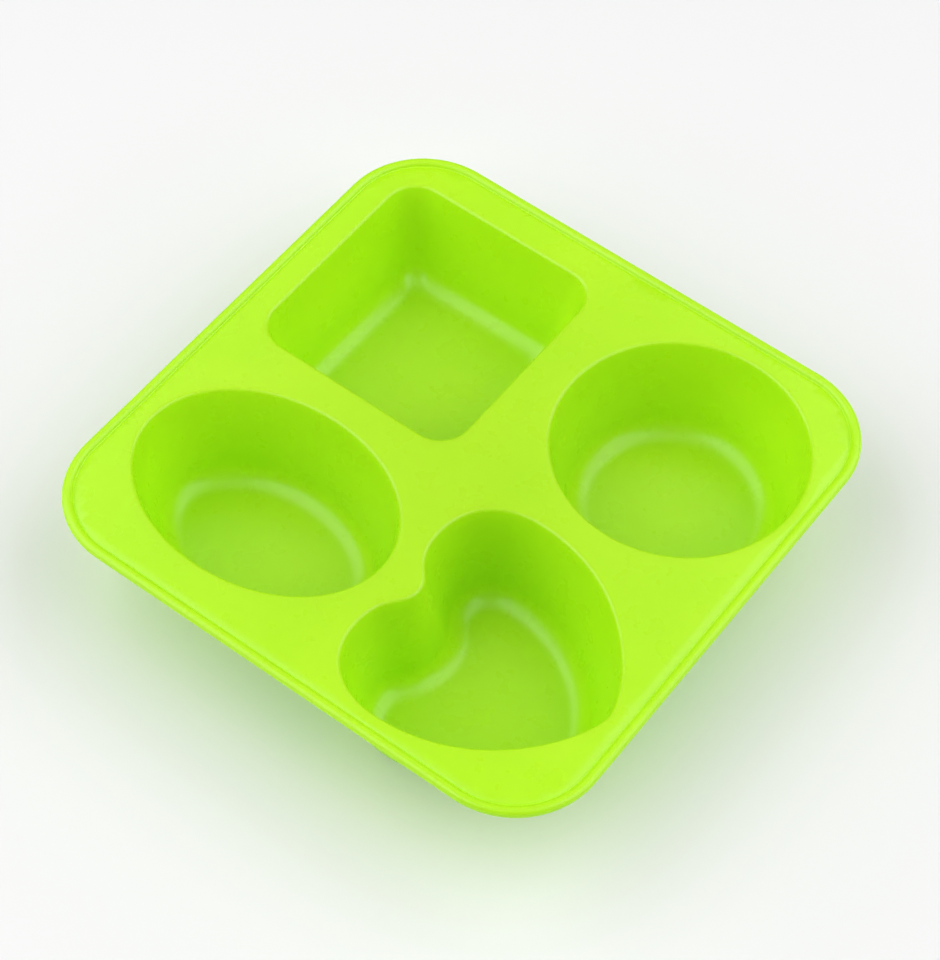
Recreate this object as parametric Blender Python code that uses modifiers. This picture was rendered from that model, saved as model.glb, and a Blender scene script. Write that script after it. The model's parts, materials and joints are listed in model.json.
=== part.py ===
"""Silicone soap mould: a square tray with an oval, a square, a heart and a round cup.

Metres, +Z up. The origin is the centre of the tray on the plane that the cups stand on, and
X and Y run along the tray's sides. The real mould is one thin moulding. It is built here as
its natural regions (deck, rim bead, cup walls, cup floors) so that the cup floors can be
pushed up and the tray can bend along the plain web between its rear and front cups.
"""
import math

import bmesh
import bpy
from mathutils import Vector
from mathutils.geometry import interpolate_bezier

MM = 0.001

# Tray
TRAY_SIDE = 170 * MM
TRAY_CORNER_RADIUS = 26 * MM
DECK_TOP = 33 * MM
DECK_THICKNESS = 2 * MM
RIM_RADIUS = 1.5 * MM
RIM_CROWN = 1 * MM           # how far the rim bead stands above the deck

# Cups, all with the same section
DRAFT = math.radians(14)
WALL_THICKNESS = 2 * MM
FLOOR_THICKNESS = 2 * MM
LIP_RADIUS = 1.2 * MM
FLOOR_FILLET = 5 * MM
FOOT_INSET = 14.2 * MM       # from the mouth's edge to the inner edge of the foot ring

# Mouths, measured where the wall would meet the deck without its rounded lip
OVAL_CENTRE = Vector((-40.8, 37.1)) * MM
OVAL_HALF = Vector((29.7, 39.5)) * MM
SQUARE_CENTRE = Vector((35.7, 40.3)) * MM
SQUARE_HALF = Vector((35.9, 33.8)) * MM
SQUARE_CORNER_RADIUS = 9.5 * MM
SQUARE_CORNER_VANISHES = 20 * MM   # inset at which the tapering corner radius would be zero
ROUND_CENTRE = Vector((40.4, -42.8)) * MM
ROUND_RADIUS = 36 * MM
HEART_CENTRE = Vector((-41, -42.5)) * MM
HEART_NOTCH = 27.5 * MM      # up from the heart's centre to the bottom of its notch
HEART_LOBE = Vector((18, 34.5)) * MM
HEART_SIDE = Vector((37, 14.5)) * MM
HEART_TIP = -34 * MM
HEART_HANDLES = {            # reach of each curve handle at the mouth, and its change going inwards
    "notch": (6.6 * MM, 0.41),
    "lobe_in": (11.8 * MM, -0.57),
    "lobe_out": (13 * MM, -0.53),
    "side_up": (10 * MM, -0.55),
    "side_down": (32.3 * MM, -0.58),
    "tip": (8 * MM, -0.33),
}

# Seams between regions, and the bend line in the web between the rear and front cups
GAP = 0.3 * MM
BEND_Y = -5.15 * MM
BEND_CLEARANCE = 0.5 * MM    # from the bend axis to the edge of each half

# Fineness
STEPS = 60                   # points round an oval, a round or a square section
HEART_STEPS = (8, 11, 14)    # points on the heart's notch, lobe and flank stretches
ARC_POINTS = 4
RIM_RESOLUTION = 4

CORNERS = ((1, 1, 0), (-1, 1, 90), (-1, -1, 180), (1, -1, 270))


# ---------------------------------------------------------------- scene

def clear_scene():
    for item in list(bpy.data.objects):
        bpy.data.objects.remove(item, do_unlink=True)


def make_collection(name):
    collection = bpy.data.collections.new(name)
    bpy.context.scene.collection.children.link(collection)
    return collection


def silicone(name, colour, roughness):
    material = bpy.data.materials.new(name)
    material.use_nodes = True
    shader = material.node_tree.nodes["Principled BSDF"]
    shader.inputs["Base Color"].default_value = (*colour, 1.0)
    shader.inputs["Roughness"].default_value = roughness
    shader.inputs["Metallic"].default_value = 0.0
    material.diffuse_color = (*colour, 1.0)
    return material


def place(name, mesh, material, collection, at=(0, 0, 0), parent=None):
    """Link one sub-part, with its origin at the world point `at`."""
    part = bpy.data.objects.new(name, mesh)
    mesh.materials.clear()
    mesh.materials.append(material)
    mesh.shade_smooth()
    mesh.set_sharp_from_angle(angle=math.radians(35))
    collection.objects.link(part)
    part.parent = parent
    part.location = Vector(at) - (parent.location if parent else Vector())
    return part


# ---------------------------------------------------------------- outlines, seen from above

def arc(centre, radius, start, end, points):
    """Points on an arc between two angles in degrees, both ends included."""
    turns = [math.radians(start + (end - start) * i / (points - 1)) for i in range(points)]
    return [Vector((centre[0] + radius * math.cos(t), centre[1] + radius * math.sin(t))) for t in turns]


def rounded_rectangle(half, radius):
    outline = []
    for sign_x, sign_y, start in CORNERS:
        corner = (sign_x * (half[0] - radius), sign_y * (half[1] - radius))
        outline += arc(corner, radius, start, start + 90, STEPS // 4)
    return outline


def square_section(inset):
    """The square cup narrows downwards, and its corners tighten as it does."""
    radius = SQUARE_CORNER_RADIUS * (1 - inset / SQUARE_CORNER_VANISHES)
    return rounded_rectangle(SQUARE_HALF - Vector((inset, inset)), radius)


def round_section(inset):
    return arc((0, 0), ROUND_RADIUS - inset, 0, 360, STEPS + 1)[:-1]


def oval_section(inset):
    """A curve parallel to the mouth's ellipse, everywhere `inset` inside it."""
    outline = []
    for i in range(STEPS):
        turn = math.tau * i / STEPS
        on_ellipse = Vector((OVAL_HALF[0] * math.cos(turn), OVAL_HALF[1] * math.sin(turn)))
        normal = Vector((OVAL_HALF[1] * math.cos(turn), OVAL_HALF[0] * math.sin(turn))).normalized()
        outline.append(on_ellipse - normal * inset)
    return outline


def heart_section(inset):
    """Three curves down the heart's right side, mirrored for its left.

    Going inwards, the notch opens out and the lobes and the tip tighten, as on parallel curves.
    """
    reach = {name: length + change * inset for name, (length, change) in HEART_HANDLES.items()}
    notch = Vector((0, HEART_NOTCH - inset))
    lobe = HEART_LOBE - Vector((0, inset))
    side = HEART_SIDE - Vector((inset, 0))
    tip = Vector((0, HEART_TIP + inset))
    across = Vector((1, 0))
    up = Vector((0, 1))
    curves = (
        (notch, notch + across * reach["notch"], lobe - across * reach["lobe_in"], lobe),
        (lobe, lobe + across * reach["lobe_out"], side + up * reach["side_up"], side),
        (side, side - up * reach["side_down"], tip + across * reach["tip"], tip),
    )
    right = []
    for curve, points in zip(curves, HEART_STEPS):
        right += [Vector(p[:2]) for p in interpolate_bezier(*[c.to_3d() for c in curve], points)[:-1]]
    left = [Vector((-p[0], p[1])) for p in reversed(right[1:])]
    return right + [tip] + left


# ---------------------------------------------------------------- the section that all cups share

def wall_inset(z):
    """How far the cavity's drafted face has come in from the mouth's edge at height z."""
    return (DECK_TOP - z) * math.tan(DRAFT)


def flange_inset():
    """The cup's outer edge in the deck, straight above where its outer face leaves the deck."""
    return wall_inset(DECK_TOP - DECK_THICKNESS) - WALL_THICKNESS / math.cos(DRAFT)


def cup_profile():
    """Closed outline of the wall as (inset, z): down its outer face, and up inside the cavity."""
    lean = math.degrees(DRAFT)
    lip = (-LIP_RADIUS * (1 - math.sin(DRAFT)) / math.cos(DRAFT), DECK_TOP - LIP_RADIUS)
    fillet_z = FLOOR_THICKNESS + FLOOR_FILLET
    fillet = (wall_inset(fillet_z) + FLOOR_FILLET / math.cos(DRAFT), fillet_z)
    outer_fillet = FLOOR_FILLET + WALL_THICKNESS
    profile = [Vector((flange_inset(), DECK_TOP)), Vector((flange_inset(), DECK_TOP - DECK_THICKNESS))]
    profile += arc(fillet, outer_fillet, 180 + lean, 270, ARC_POINTS)
    profile += [Vector((FOOT_INSET, 0)), Vector((FOOT_INSET, FLOOR_THICKNESS))]
    profile += arc(fillet, FLOOR_FILLET, 270, 180 + lean, ARC_POINTS)
    profile += arc(lip, LIP_RADIUS, lean, 90, ARC_POINTS)
    return profile


# ---------------------------------------------------------------- meshes

def lofted_wall(name, section):
    """A ring of wall: the cup's outline at each point of the profile, joined to the next."""
    rows = [[(x, y, z) for x, y in section(inset)] for inset, z in cup_profile()]
    builder = bmesh.new()
    rings = [[builder.verts.new(point) for point in row] for row in rows]
    around = len(rings[0])
    for i, ring in enumerate(rings):
        after = rings[(i + 1) % len(rings)]
        for j in range(around):
            k = (j + 1) % around
            builder.faces.new((ring[j], ring[k], after[k], after[j]))
    bmesh.ops.recalc_face_normals(builder, faces=builder.faces)
    mesh = bpy.data.meshes.new(name)
    builder.to_mesh(mesh)
    builder.free()
    return mesh


def turned_wall(name):
    """The round cup's wall: the profile as a closed line for a Screw modifier."""
    points = [(ROUND_RADIUS - inset, 0, z) for inset, z in cup_profile()]
    edges = [(i, (i + 1) % len(points)) for i in range(len(points))]
    mesh = bpy.data.meshes.new(name)
    mesh.from_pydata(points, edges, [])
    return mesh


def add_screw(part):
    screw = part.modifiers.new("Turn", "SCREW")
    screw.axis = "Z"
    screw.steps = STEPS
    screw.render_steps = STEPS
    screw.use_merge_vertices = True
    screw.merge_threshold = 0.01 * MM
    screw.use_smooth_shade = True


def outline_curve(name, outlines):
    """A flat 2D curve through closed outlines: the first is the shape, the rest are its holes."""
    curve = bpy.data.curves.new(name, "CURVE")
    curve.dimensions = "2D"
    for outline in outlines:
        spline = curve.splines.new("POLY")
        spline.points.add(len(outline) - 1)
        for point, (x, y) in zip(spline.points, outline):
            point.co = (x, y, 0, 1)
        spline.use_cyclic_u = True
    return curve


def mesh_from_curve(name, curve, z):
    """The curve's evaluated mesh at height z, with its loose caps welded on."""
    guide = bpy.data.objects.new(name + "_curve", curve)
    bpy.context.scene.collection.objects.link(guide)
    evaluated = guide.evaluated_get(bpy.context.evaluated_depsgraph_get())
    mesh = bpy.data.meshes.new_from_object(evaluated)
    bpy.data.objects.remove(guide)
    builder = bmesh.new()
    builder.from_mesh(mesh)
    bmesh.ops.remove_doubles(builder, verts=builder.verts, dist=0.01 * MM)
    bmesh.ops.translate(builder, verts=builder.verts, vec=(0, 0, z))
    bmesh.ops.recalc_face_normals(builder, faces=builder.faces)
    builder.to_mesh(mesh)
    builder.free()
    mesh.name = name
    return mesh


def flat_plate(name, outlines, bottom, thickness):
    curve = outline_curve(name, outlines)
    curve.fill_mode = "BOTH"
    curve.extrude = thickness / 2
    return mesh_from_curve(name, curve, bottom + thickness / 2)


def keep_half(mesh, name, side):
    """A copy of a mesh cut off at the bend clearance: side +1 keeps the rear, -1 the front."""
    half = mesh.copy()
    half.name = name
    builder = bmesh.new()
    builder.from_mesh(half)
    everything = builder.verts[:] + builder.edges[:] + builder.faces[:]
    cut = (0, BEND_Y + side * BEND_CLEARANCE, 0)
    bmesh.ops.bisect_plane(builder, geom=everything, plane_co=cut, plane_no=(0, side, 0), clear_inner=True)
    bmesh.ops.holes_fill(builder, edges=[edge for edge in builder.edges if edge.is_boundary])
    bmesh.ops.triangulate(builder, faces=builder.faces)
    bmesh.ops.recalc_face_normals(builder, faces=builder.faces)
    builder.to_mesh(half)
    builder.free()
    return half


def moved_by(outline, offset):
    return [point + offset for point in outline]


# ---------------------------------------------------------------- sub-parts

def add_deck(cups, material, collection, bend_axis):
    """The flat top between the cups and the rim bead, in a rear and a front half."""
    edge = 2 * RIM_RADIUS + GAP
    half = TRAY_SIDE / 2 - edge
    outlines = [rounded_rectangle((half, half), TRAY_CORNER_RADIUS - edge)]
    for section, centre in cups:
        outlines.append(moved_by(section(flange_inset() - GAP), centre))
    plate = flat_plate("deck", outlines, DECK_TOP - DECK_THICKNESS, DECK_THICKNESS)
    add_halves("deck", plate, material, collection, bend_axis)


def add_rim_bead(material, collection, bend_axis):
    """The round bead that stiffens the tray's edge, in a rear and a front half."""
    half = TRAY_SIDE / 2 - RIM_RADIUS
    path = rounded_rectangle((half, half), TRAY_CORNER_RADIUS - RIM_RADIUS)
    curve = outline_curve("rim_bead", [path])
    curve.dimensions = "3D"
    curve.fill_mode = "FULL"
    curve.bevel_depth = RIM_RADIUS
    curve.bevel_resolution = RIM_RESOLUTION
    bead = mesh_from_curve("rim_bead", curve, DECK_TOP + RIM_CROWN - RIM_RADIUS)
    add_halves("rim_bead", bead, material, collection, bend_axis)


def add_halves(name, mesh, material, collection, bend_axis):
    """The rear half stands still, and the front half hangs on the bend axis."""
    place(name + "_rear", keep_half(mesh, name + "_rear", 1), material, collection)
    front = keep_half(mesh, name + "_front", -1)
    front.transform(bend_axis.matrix_basis.inverted())
    place(name + "_front", front, material, collection, bend_axis.location, bend_axis)
    bpy.data.meshes.remove(mesh)


def add_lofted_cup(name, section, centre, materials, collection, parent=None):
    at = centre.to_3d()
    place(name + "_cup_wall", lofted_wall(name, section), materials["wall"], collection, at, parent)
    outline = section(FOOT_INSET + GAP)
    floor = flat_plate(name + "_floor", [outline], 0, FLOOR_THICKNESS)
    place(name + "_cup_floor", floor, materials["floor"], collection, at, parent)


def add_round_cup(materials, collection, parent):
    at = ROUND_CENTRE.to_3d()
    wall = place("round_cup_wall", turned_wall("round"), materials["wall"], collection, at, parent)
    add_screw(wall)
    disc = bmesh.new()
    radius = ROUND_RADIUS - FOOT_INSET - GAP
    bmesh.ops.create_cone(
        disc, cap_ends=True, segments=STEPS, radius1=radius, radius2=radius, depth=FLOOR_THICKNESS
    )
    bmesh.ops.translate(disc, verts=disc.verts, vec=(0, 0, FLOOR_THICKNESS / 2))
    mesh = bpy.data.meshes.new("round_floor")
    disc.to_mesh(mesh)
    disc.free()
    place("round_cup_floor", mesh, materials["floor"], collection, at, parent)


def add_bend_axis(collection):
    """An empty on the line the tray bends about, halfway through the deck's thickness."""
    axis = bpy.data.objects.new("bend_axis", None)
    axis.location = (0, BEND_Y, DECK_TOP - DECK_THICKNESS / 2)
    axis.empty_display_size = 20 * MM
    collection.objects.link(axis)
    bpy.context.view_layer.update()
    return axis


def build():
    clear_scene()
    collection = make_collection("silicone_soap_mould")
    deck_material = silicone("deck_silicone", (0.50, 0.90, 0.05), 0.35)
    rim_material = silicone("rim_silicone", (0.55, 0.92, 0.10), 0.32)
    materials = {
        "wall": silicone("cup_wall_silicone", (0.30, 0.70, 0.01), 0.38),
        "floor": silicone("cup_floor_silicone", (0.36, 0.80, 0.02), 0.38),
    }
    cups = (
        (oval_section, OVAL_CENTRE),
        (square_section, SQUARE_CENTRE),
        (heart_section, HEART_CENTRE),
        (round_section, ROUND_CENTRE),
    )
    bend_axis = add_bend_axis(collection)
    add_deck(cups, deck_material, collection, bend_axis)
    add_rim_bead(rim_material, collection, bend_axis)
    add_lofted_cup("oval", oval_section, OVAL_CENTRE, materials, collection)
    add_lofted_cup("square", square_section, SQUARE_CENTRE, materials, collection)
    add_lofted_cup("heart", heart_section, HEART_CENTRE, materials, collection, bend_axis)
    add_round_cup(materials, collection, bend_axis)


build()
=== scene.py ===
"""The looks of the silicone soap mould: one continuous translucent skin around the CAD frame.

The skin is five pieces that meet on flat silicone just outside each cup's lip: the deck with its
rim bead, and the four cups. The deck's grid is finer across the line where the tray bends.
"""
import json
import math

import bpy
import numpy as np
from mathutils import Matrix, Vector
from mathutils.geometry import delaunay_2d_cdt, interpolate_bezier


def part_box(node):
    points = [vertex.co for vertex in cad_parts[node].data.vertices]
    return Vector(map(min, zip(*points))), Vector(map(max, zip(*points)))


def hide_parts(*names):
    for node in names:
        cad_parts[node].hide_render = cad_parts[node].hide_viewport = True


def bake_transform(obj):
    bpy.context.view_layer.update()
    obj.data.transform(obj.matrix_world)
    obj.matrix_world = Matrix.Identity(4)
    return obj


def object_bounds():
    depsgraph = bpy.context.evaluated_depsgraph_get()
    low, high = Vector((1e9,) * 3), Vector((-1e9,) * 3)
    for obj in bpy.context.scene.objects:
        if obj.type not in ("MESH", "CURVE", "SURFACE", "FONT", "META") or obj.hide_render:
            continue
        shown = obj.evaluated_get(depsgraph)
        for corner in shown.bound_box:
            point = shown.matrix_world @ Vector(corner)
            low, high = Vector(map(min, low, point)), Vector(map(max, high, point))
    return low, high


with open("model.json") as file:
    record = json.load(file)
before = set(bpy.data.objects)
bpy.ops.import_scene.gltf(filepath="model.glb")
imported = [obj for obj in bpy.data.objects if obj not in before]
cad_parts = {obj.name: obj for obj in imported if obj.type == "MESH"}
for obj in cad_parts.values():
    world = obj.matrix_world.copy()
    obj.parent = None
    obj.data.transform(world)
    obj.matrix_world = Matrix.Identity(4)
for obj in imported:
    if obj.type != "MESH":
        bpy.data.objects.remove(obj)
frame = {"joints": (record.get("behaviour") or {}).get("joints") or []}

cad_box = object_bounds()

MM = 0.001

# The tray, from the frame
TRAY_HALF = (cad_box[1].x - cad_box[0].x) / 2
DECK_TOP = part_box("deck_rear")[1].z
DECK_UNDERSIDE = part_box("deck_rear")[0].z
WALL_THICKNESS = DECK_TOP - DECK_UNDERSIDE
FLOOR_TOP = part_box("round_cup_floor")[1].z
BEND = next(Vector(joint["pos_m"]) for joint in frame["joints"] if joint["name"] == "tray_bend")

# The tray's edge: round corners, and a round bead with a fine groove along its foot
TRAY_CORNER_RADIUS = 26 * MM
BEAD_RADIUS = 1.5 * MM
GROOVE_RADIUS = 0.35 * MM
GROOVE_DEPTH = 0.2 * MM
GROOVE_START = 315           # degrees round the groove's arc, on its inner side
BEAD_BAND = 3.6 * MM         # from the tray's side to where the skin is plain deck

# The section that all cups share
DRAFT = math.radians(14)
LIP_RADIUS = 1.2 * MM
FLOOR_FILLET = 7 * MM
UNDERSIDE_FILLET = 0.6 * MM
FOOT_INSET = 14.2 * MM
SEAM_INSET = -2.1 * MM       # where a cup's skin meets the deck's, outside the mouth's edge

# Cup shapes
SQUARE_CORNER_RADIUS = 9.5 * MM
SQUARE_CORNER_VANISHES = 20 * MM     # the inset at which the corners would be sharp
HEART_NOTCH = 27.5 * MM
HEART_LOBE = Vector((18, 34.5)) * MM
HEART_SIDE = Vector((37, 14.5)) * MM
HEART_TIP = -34 * MM
HEART_HANDLES = {            # reach of each curve handle at the mouth, and its change going inwards
    "notch": (6.6 * MM, 0.41),
    "lobe_in": (11.8 * MM, -0.57),
    "lobe_out": (13 * MM, -0.53),
    "side_up": (10 * MM, -0.55),
    "side_down": (32.3 * MM, -0.58),
    "tip": (8 * MM, -0.33),
}

# Fineness of the outlines
AROUND = 288                 # points round each cup
HEART_STEPS = (37, 49, 61)   # points on each curve down the heart's side
SQUARE_CORNER_POINTS = 16
TRAY_CORNER_POINTS = 33
RIM_STEP = 0.75 * MM

# Fineness of the profiles: points on each stretch
GROOVE_POINTS = 8
BEAD_POINTS = 29
SEAM_POINTS = 3
LIP_POINTS = 9
WALL_POINTS = 22
FILLET_POINTS = 15
UNDERSIDE_POINTS = 6
FLOOR_SCALES = np.linspace(1, 0.04, 13)[1:]     # rings of a cup's floor, towards its centre

# Fineness of the deck's grid
GRID = 3 * MM
BEND_GRID = 0.75 * MM
BEND_HALF_WIDTH = 2.3 * MM   # the stretch of web that curves when the tray bends
OUTLINE_GAP = 0.8 * MM       # grid points stay this far from an outline, so its edges are kept
POINT_MERGE = 1e-4           # in mm, far below the spacing of the points

SHARP_ANGLE = math.radians(50)

# Silicone
SILICONE_COLOURS = ((0.60, 0.950, 0.011), (0.65, 0.970, 0.017))     # the two ends of the clouds
SILICONE_ROUGHNESS = (0.25, 0.34)
SILICONE_IOR = 1.45
SILICONE_SPECULAR = 0.9      # makes up for the share of light let through
LET_THROUGH = 0.42           # how much of the shading is light passing through
CLOUDS = (28, 3, 0.5)        # scale, detail and roughness of each noise
HANDLING_MARKS = (140, 4, 0.5)
WAVINESS = (260, 2, 0.4)
WAVINESS_STRENGTH = 0.12
WAVINESS_HEIGHT = 0.1 * MM
NOISE_RANGE = (0.3, 0.7)     # where most of a noise texture's values lie

# Studio floor
STAGE_SIZE = 6
STAGE_DROP = 0.3 * MM        # a hair below the feet, so that the two surfaces never coincide
STAGE_COLOUR = (0.80, 0.80, 0.80, 1)
STAGE_ROUGHNESS = 0.6

# Camera
CAMERA_AZIMUTH = -56.29
CAMERA_ELEVATION = 54.86
CAMERA_ROLL = 3.70
CAMERA_DISTANCE = 810.2 * MM
CAMERA_TARGET = Vector((-4.1 * MM, -4.2 * MM, DECK_TOP))
CAMERA_LENS = 112.43
SENSOR_WIDTH = 36

# Lights: each softbox's azimuth from the camera's, elevation, width and height, and power
WORLD_COLOUR = (1, 1, 1, 1)
WORLD_STRENGTH = 0.20
SOFTBOX_DISTANCE = 1.3
SOFTBOXES = {
    "softbox_left": (-80, 42, (1.7, 1.5), 16.8),
    "softbox_right": (90, 42, (1.6, 1.5), 14.5),
    "softbox_back_left": (-148, 50, (0.7, 0.5), 1),
    "softbox_back_right": (148, 50, (0.7, 0.5), 1),
    "softbox_top": (0, 80, (0.8, 0.8), 1),
}


# ---------------------------------------------------------------- outlines, seen from above

def arc(centre, radius, start, end, points):
    """Points on an arc between two angles in degrees, both ends included."""
    turn = np.radians(np.linspace(start, end, points))
    return np.stack([centre[0] + radius * np.cos(turn), centre[1] + radius * np.sin(turn)], 1)


def between(start, end, points):
    """Points on a straight stretch, both ends left out."""
    steps = np.linspace(0, 1, points + 2)[1:-1, None]
    return np.array(start) + (np.array(end) - np.array(start)) * steps


def rounded_rectangle(half, radius, corner_points, side_points):
    """Rounded corners joined by straight sides, each side cut in side_points + 1 equal lengths."""
    corners = []
    for sx, sy, start in ((1, 1, 0), (-1, 1, 90), (-1, -1, 180), (1, -1, 270)):
        centre = (sx * (half[0] - radius), sy * (half[1] - radius))
        corners.append(arc(centre, radius, start, start + 90, corner_points))
    outline = []
    for corner, after in zip(corners, corners[1:] + corners[:1]):
        outline += [corner, between(corner[-1], after[0], side_points)]
    return np.concatenate(outline)


def tray_section(inset):
    """The tray's outline, with points about RIM_STEP apart along its sides."""
    half = TRAY_HALF - inset
    side_points = int((2 * TRAY_HALF - 2 * TRAY_CORNER_RADIUS) / RIM_STEP)
    return rounded_rectangle((half, half), TRAY_CORNER_RADIUS - inset, TRAY_CORNER_POINTS, side_points)


def square_section(half):
    """Rounded squares whose corners grow sharper as they go in."""
    side_points = AROUND // 4 - SQUARE_CORNER_POINTS

    def section(inset):
        radius = SQUARE_CORNER_RADIUS * (1 - inset / SQUARE_CORNER_VANISHES)
        inner_half = (half.x - inset, half.y - inset)
        return rounded_rectangle(inner_half, radius, SQUARE_CORNER_POINTS, side_points)

    return section


def oval_section(half):
    """Curves parallel to an ellipse, which is a circle for the round cup."""
    turn = np.linspace(0, math.tau, AROUND, endpoint=False)
    ellipse = np.stack([half.x * np.cos(turn), half.y * np.sin(turn)], 1)
    normal = np.stack([half.y * np.cos(turn), half.x * np.sin(turn)], 1)
    normal /= np.linalg.norm(normal, axis=1)[:, None]
    return lambda inset: ellipse - normal * inset


def heart_section(inset):
    """Three curves down the heart's right side, mirrored for its left."""
    reach = {name: length + change * inset for name, (length, change) in HEART_HANDLES.items()}
    notch = Vector((0, HEART_NOTCH - inset))
    lobe = HEART_LOBE - Vector((0, inset))
    side = HEART_SIDE - Vector((inset, 0))
    tip = Vector((0, HEART_TIP + inset))
    across = Vector((1, 0))
    up = Vector((0, 1))
    curves = (
        (notch, notch + across * reach["notch"], lobe - across * reach["lobe_in"], lobe),
        (lobe, lobe + across * reach["lobe_out"], side + up * reach["side_up"], side),
        (side, side - up * reach["side_down"], tip + across * reach["tip"], tip),
    )
    right = []
    for curve, points in zip(curves, HEART_STEPS):
        right += [p[:2] for p in interpolate_bezier(*[c.to_3d() for c in curve], points)[:-1]]
    left = [(-x, y) for x, y in reversed(right[1:])]
    clockwise = np.array(right + [tuple(tip)] + left)
    return clockwise[::-1]


# ---------------------------------------------------------------- profiles, as (inset, z)

def wall_inset(z):
    """How far the inside of a cup's wall has come in from the mouth, at a height."""
    return (DECK_TOP - z) * math.tan(DRAFT)


def fillet_centre():
    """Centre of the arcs that turn a cup's wall into its floor, inside and outside."""
    z = FLOOR_TOP + FLOOR_FILLET
    return (wall_inset(z) + FLOOR_FILLET / math.cos(DRAFT), z)


def joined(*stretches):
    return np.concatenate([np.atleast_2d(np.array(s, float)) for s in stretches])


def cavity_profile():
    """From the seam on the deck over the lip, down the wall and round the fillet to the floor."""
    lean = math.degrees(DRAFT)
    lip = (-LIP_RADIUS * (1 - math.sin(DRAFT)) / math.cos(DRAFT), DECK_TOP - LIP_RADIUS)
    seam = (SEAM_INSET, DECK_TOP)
    lip_arc = arc(lip, LIP_RADIUS, 90, lean, LIP_POINTS)
    deck = between(seam, lip_arc[0], SEAM_POINTS)
    floor_arc = arc(fillet_centre(), FLOOR_FILLET, 180 + lean, 270, FILLET_POINTS)
    wall = between(lip_arc[-1], floor_arc[0], WALL_POINTS)
    return joined(seam, deck, lip_arc, wall, floor_arc, (FOOT_INSET, FLOOR_TOP))


def outside_profile():
    """From the foot, round the outer fillet and up the outer wall to the deck's underside."""
    lean = math.degrees(DRAFT)
    foot_arc = arc(fillet_centre(), FLOOR_FILLET + WALL_THICKNESS, 270, 180 + lean, FILLET_POINTS)
    top_z = DECK_UNDERSIDE - UNDERSIDE_FILLET
    outwards = WALL_THICKNESS + UNDERSIDE_FILLET
    top = (wall_inset(top_z) - outwards / math.cos(DRAFT), top_z)
    top_arc = arc(top, UNDERSIDE_FILLET, lean, 90, UNDERSIDE_POINTS)
    wall = between(foot_arc[-1], top_arc[0], WALL_POINTS)
    seam = (SEAM_INSET, DECK_UNDERSIDE)
    return joined((FOOT_INSET, 0), foot_arc, wall, top_arc, seam)


def rim_profile():
    """From the deck through the groove and over the bead, round the side to the underside.

    The groove's arc touches the bead's from outside, so the one runs on smoothly into the other.
    """
    bead = (BEAD_RADIUS, DECK_UNDERSIDE + BEAD_RADIUS)
    reach = BEAD_RADIUS + GROOVE_RADIUS
    groove_z = DECK_TOP + GROOVE_RADIUS - GROOVE_DEPTH
    tilt = math.asin((groove_z - bead[1]) / reach)
    groove = (bead[0] + reach * math.cos(tilt), groove_z)
    groove_arc = arc(groove, GROOVE_RADIUS, GROOVE_START, 180 + math.degrees(tilt), GROOVE_POINTS)
    bead_arc = arc(bead, BEAD_RADIUS, math.degrees(tilt), 270, BEAD_POINTS)
    return joined(groove_arc, bead_arc[1:])


# ---------------------------------------------------------------- meshes

def at_height(outline, z):
    return np.column_stack([outline, np.full(len(outline), z)])


def rows_of(section, profile, centre):
    """One closed row of points for each point of a profile."""
    return [at_height(section(inset) + np.array(centre), z) for inset, z in profile]


def floor_rows(row, centre):
    """Copies of a row drawn in towards its centre, for a flat floor."""
    middle = np.array([centre[0], centre[1], row[0][2]])
    return [middle + (row - middle) * scale for scale in FLOOR_SCALES]


def stitch(first, second, around):
    """Quads between two closed rows, given the index of each row's first point."""
    return [
        (first + j, first + (j + 1) % around, second + (j + 1) % around, second + j)
        for j in range(around)
    ]


def new_piece(name, points, faces, seam_faces, materials):
    """A piece whose seam faces, hidden inside the silicone, have the second material."""
    mesh = bpy.data.meshes.new(name)
    mesh.from_pydata([tuple(p) for p in points], [], faces)
    mesh.validate()
    for material in materials:
        mesh.materials.append(material)
    for face in seam_faces:
        mesh.polygons[face].material_index = 1
    mesh.shade_smooth()
    mesh.set_sharp_from_angle(angle=SHARP_ANGLE)
    piece = bpy.data.objects.new(name, mesh)
    bpy.context.scene.collection.objects.link(piece)
    return piece


def cup_skin(name, section, centre, materials):
    """A closed skin: inside of the cup, its floor, its underside and its outside."""
    inside = rows_of(section, cavity_profile(), centre)
    inside += floor_rows(inside[-1], centre)
    outside = rows_of(section, outside_profile(), centre)
    outside = floor_rows(outside[0], centre)[::-1] + outside
    rows = inside + outside
    around = len(rows[0])
    starts = [i * around for i in range(len(rows))]
    above = starts[len(inside) - 1]
    below = starts[len(inside)]
    faces = []
    for first, second in zip(starts, starts[1:]):
        if first != above:
            faces += stitch(first, second, around)
    seam_faces = range(len(faces), len(faces) + around)
    faces += stitch(starts[-1], starts[0], around)

    centres = [(centre[0], centre[1], row[0][2]) for row in (inside[-1], outside[0])]
    points = np.concatenate(rows + [centres])
    for j in range(around):
        k = (j + 1) % around
        faces.append((above + j, above + k, len(points) - 2))
        faces.append((below + k, below + j, len(points) - 1))
    return new_piece(name, points, faces, seam_faces, materials)


def inside_outline(points, outline):
    """True for each point that lies inside a closed outline."""
    x, y = points[:, :1], points[:, 1:]
    x1, y1 = outline[:, 0], outline[:, 1]
    x2, y2 = np.roll(x1, -1), np.roll(y1, -1)
    crosses = (y1 > y) != (y2 > y)
    with np.errstate(divide="ignore", invalid="ignore"):
        left_of = x < (x2 - x1) * (y - y1) / (y2 - y1) + x1
    return (crosses & left_of).sum(1) % 2 == 1


def on_deck(points, edge, holes):
    """True for each point inside the deck's edge and outside its openings."""
    keep = inside_outline(points, edge)
    for hole in holes:
        keep &= ~inside_outline(points, hole)
    return keep


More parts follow.
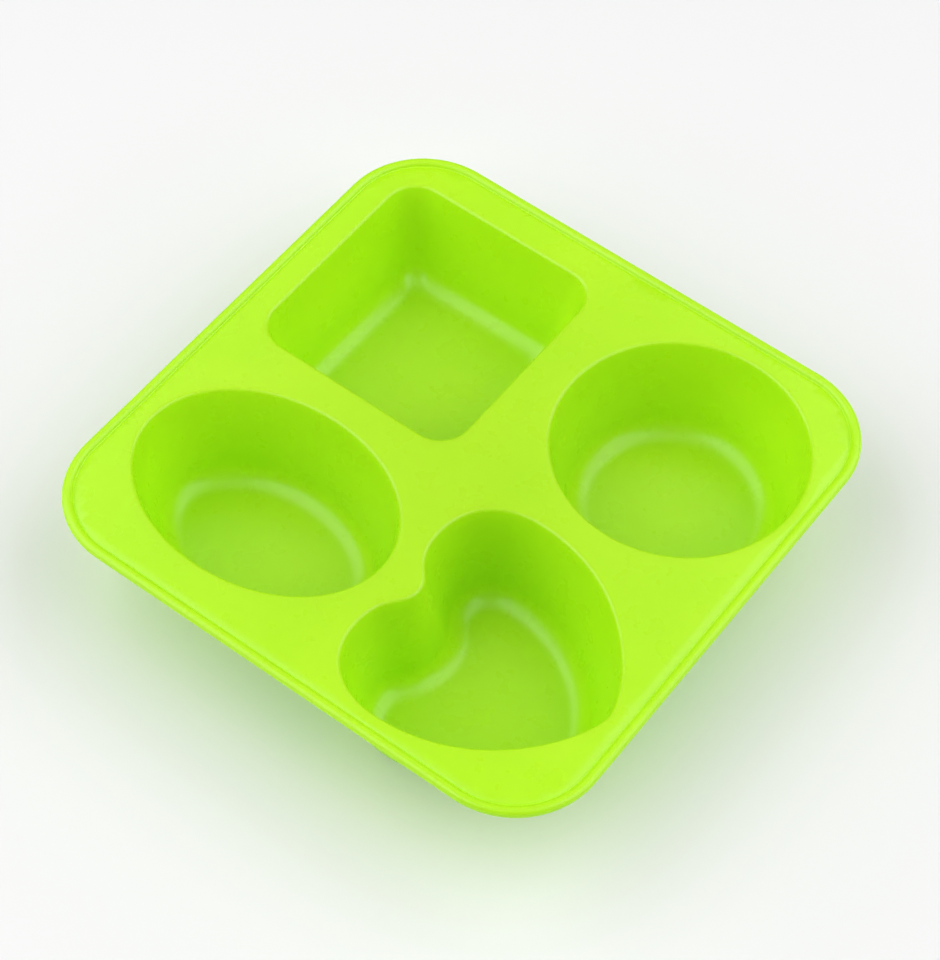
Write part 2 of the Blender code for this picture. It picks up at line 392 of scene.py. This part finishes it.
def deck_grid(edge, holes):
    """Points inside the deck, closer together across the bend."""
    reach = TRAY_HALF - BEAD_BAND
    coarse = np.arange(-reach, reach, GRID)
    near = np.arange(BEND.y - 2 * BEND_HALF_WIDTH, BEND.y + 2 * BEND_HALF_WIDTH, BEND_GRID)
    away = coarse[np.abs(coarse - BEND.y) > 2 * BEND_HALF_WIDTH + GRID / 2]
    x, y = np.meshgrid(coarse, np.concatenate([away, near]))
    points = np.column_stack([x.ravel(), y.ravel()])
    keep = on_deck(points, edge, holes)
    for outline in (edge, *holes):
        gaps = np.linalg.norm(points[:, None] - outline[None], axis=2)
        keep &= gaps.min(1) > OUTLINE_GAP
    return points[keep]


def deck_triangles(points, edge, holes):
    """Triangles between the points, wherever there is deck. They are worked out in millimetres."""
    flat = [Vector(point / MM) for point in points]
    triangles = np.array(delaunay_2d_cdt(flat, [], [], 0, POINT_MERGE)[2])
    keep = on_deck(points[triangles].mean(1), edge, holes)
    return triangles[keep].tolist()


def deck_skin(name, cups, materials):
    """A closed skin: the deck's top and underside with four openings, and the rim bead."""
    edge = tray_section(BEAD_BAND)
    holes = [section(SEAM_INSET) + np.array(centre) for section, centre in cups]
    flat = np.concatenate([edge, *holes, deck_grid(edge, holes)])
    triangles = deck_triangles(flat, edge, holes)
    count = len(flat)
    around = len(edge)
    rim = rows_of(tray_section, rim_profile(), (0, 0))
    points = np.concatenate([at_height(flat, DECK_TOP), at_height(flat, DECK_UNDERSIDE)] + rim)

    faces = [tuple(triangle) for triangle in triangles]
    faces += [tuple(count + i for i in reversed(triangle)) for triangle in triangles]
    seam_start = len(faces)
    hole_start = around
    for hole in holes:
        faces += stitch(hole_start, count + hole_start, len(hole))
        hole_start += len(hole)
    seam_faces = range(seam_start, len(faces))
    starts = [0] + [2 * count + i * around for i in range(len(rim))] + [count]
    for first, second in zip(starts, starts[1:]):
        faces += [face[::-1] for face in stitch(first, second, around)]
    return new_piece(name, points, faces, seam_faces, materials)


# ---------------------------------------------------------------- materials

def new_material(name):
    material = bpy.data.materials.new(name)
    material.use_nodes = True
    return material


def set_inputs(node, inputs):
    """Sets each input to a value, or links it to another node's output."""
    for name, value in inputs.items():
        if isinstance(value, bpy.types.NodeSocket):
            node.id_data.links.new(value, node.inputs[name])
        else:
            node.inputs[name].default_value = value


def add_node(tree, kind, inputs):
    node = tree.nodes.new(kind)
    set_inputs(node, inputs)
    return node


def add_noise(tree, place, look):
    scale, detail, roughness = look
    inputs = {"Vector": place, "Scale": scale, "Detail": detail, "Roughness": roughness}
    return add_node(tree, "ShaderNodeTexNoise", inputs).outputs["Fac"]


def colour_from(tree, noise, colours):
    """From the first colour to the last over a noise's usual range."""
    ramp = add_node(tree, "ShaderNodeValToRGB", {"Fac": noise})
    for stop, position, colour in zip(ramp.color_ramp.elements, NOISE_RANGE, colours):
        stop.position = position
        stop.color = (*colour, 1)
    return ramp.outputs["Color"]


def value_from(tree, noise, values):
    """From the first value to the last over a noise's usual range."""
    inputs = {"Value": noise}
    inputs["From Min"], inputs["From Max"] = NOISE_RANGE
    inputs["To Min"], inputs["To Max"] = values
    return add_node(tree, "ShaderNodeMapRange", inputs).outputs["Result"]


def silicone():
    """Translucent lime silicone with a satin moulded finish, faintly cloudy and fingered."""
    material = new_material("lime_silicone")
    tree = material.node_tree
    place = add_node(tree, "ShaderNodeTexCoord", {}).outputs["Object"]
    colour = colour_from(tree, add_noise(tree, place, CLOUDS), SILICONE_COLOURS)
    bump = add_node(tree, "ShaderNodeBump", {
        "Strength": WAVINESS_STRENGTH,
        "Distance": WAVINESS_HEIGHT,
        "Height": add_noise(tree, place, WAVINESS),
    })
    normal = bump.outputs["Normal"]
    surface = tree.nodes["Principled BSDF"]
    set_inputs(surface, {
        "Base Color": colour,
        "Roughness": value_from(tree, add_noise(tree, place, HANDLING_MARKS), SILICONE_ROUGHNESS),
        "IOR": SILICONE_IOR,
        "Specular IOR Level": SILICONE_SPECULAR,
        "Normal": normal,
    })
    through = add_node(tree, "ShaderNodeBsdfTranslucent", {"Color": colour, "Normal": normal})
    mix = add_node(tree, "ShaderNodeMixShader", {
        "Fac": LET_THROUGH,
        1: surface.outputs["BSDF"],
        2: through.outputs["BSDF"],
    })
    set_inputs(tree.nodes["Material Output"], {"Surface": mix.outputs["Shader"]})
    return material


def seam():
    """Where two skins meet inside the silicone, light passes as if nothing were there."""
    material = new_material("seam_inside")
    tree = material.node_tree
    tree.nodes.remove(tree.nodes["Principled BSDF"])
    clear = add_node(tree, "ShaderNodeBsdfTransparent", {})
    set_inputs(tree.nodes["Material Output"], {"Surface": clear.outputs["BSDF"]})
    return material


def stage_material():
    material = new_material("pale_floor")
    surface = material.node_tree.nodes["Principled BSDF"]
    set_inputs(surface, {"Base Color": STAGE_COLOUR, "Roughness": STAGE_ROUGHNESS})
    return material


# ---------------------------------------------------------------- pieces

def mouth(node):
    """Centre and half widths of a cup's mouth, from the box of its CAD wall."""
    low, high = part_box(node)
    wall_past_mouth = WALL_THICKNESS / math.cos(DRAFT) - wall_inset(DECK_UNDERSIDE)
    half = (high - low) / 2
    return ((low + high) / 2).to_2d(), Vector((half.x - wall_past_mouth, half.y - wall_past_mouth))


def make_cups():
    """Section and centre of each cup, by name."""
    cups = {}
    shapes = (("oval", oval_section), ("round", oval_section), ("square", square_section))
    for name, make_section in shapes:
        centre, half = mouth(name + "_cup_wall")
        cups[name] = (make_section(half), centre)
    centre, half = mouth("heart_cup_wall")
    middle = Vector((0, (HEART_LOBE.y + HEART_TIP) / 2))
    cups["heart"] = (heart_section, centre - middle)
    return cups


def build_cup(name, section, centre, materials):
    piece = cup_skin("silicone_" + name + "_cup", section, centre, materials)
    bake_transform(piece)
    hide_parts(name + "_cup_wall", name + "_cup_floor")


def build_deck(cups, materials):
    piece = deck_skin("silicone_deck", cups, materials)
    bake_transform(piece)
    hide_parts("deck_rear", "deck_front", "rim_bead_rear", "rim_bead_front")


def build_mould():
    materials = (silicone(), seam())
    cups = make_cups()
    for name, (section, centre) in cups.items():
        build_cup(name, section, centre, materials)
    build_deck(list(cups.values()), materials)


# ---------------------------------------------------------------- stage, light and camera

def direction(azimuth, elevation):
    """Which way something lies from the mould: azimuth 0 is the front (-Y), 90 the right (+X)."""
    turn = math.radians(azimuth)
    rise = math.radians(elevation)
    return Vector((math.sin(turn) * math.cos(rise), -math.cos(turn) * math.cos(rise), math.sin(rise)))


def build_floor():
    bpy.ops.mesh.primitive_plane_add(size=STAGE_SIZE)
    floor = bpy.context.object
    floor.name = "floor"
    floor.location.z = -STAGE_DROP
    floor.data.materials.append(stage_material())


def add_softbox(name, azimuth, elevation, size, power):
    """An area light aimed at the mould."""
    light = bpy.data.lights.new(name, "AREA")
    light.shape = "RECTANGLE"
    light.size, light.size_y = size
    light.energy = power
    lamp = bpy.data.objects.new(name, light)
    bpy.context.scene.collection.objects.link(lamp)
    back = direction(CAMERA_AZIMUTH + azimuth, elevation)
    lamp.location = back * SOFTBOX_DISTANCE
    lamp.rotation_euler = back.to_track_quat("Z", "Y").to_euler()


def build_light():
    world = bpy.data.worlds.new("studio")
    world.use_nodes = True
    background = world.node_tree.nodes["Background"]
    set_inputs(background, {"Color": WORLD_COLOUR, "Strength": WORLD_STRENGTH})
    bpy.context.scene.world = world
    for name, (azimuth, elevation, size, power) in SOFTBOXES.items():
        add_softbox(name, azimuth, elevation, size, power)


def build_camera():
    camera = bpy.data.cameras.new("camera")
    camera.lens = CAMERA_LENS
    camera.sensor_width = SENSOR_WIDTH
    holder = bpy.data.objects.new("camera", camera)
    bpy.context.scene.collection.objects.link(holder)
    back = direction(CAMERA_AZIMUTH, CAMERA_ELEVATION)
    place = Matrix.Translation(CAMERA_TARGET + back * CAMERA_DISTANCE)
    aim = back.to_track_quat("Z", "Y").to_matrix().to_4x4()
    roll = Matrix.Rotation(math.radians(CAMERA_ROLL), 4, "Z")
    holder.matrix_world = place @ aim @ roll
    bpy.context.scene.camera = holder


def main():
    build_mould()
    build_floor()
    build_light()
    build_camera()
    bpy.context.scene.view_settings.view_transform = "Standard"


main()
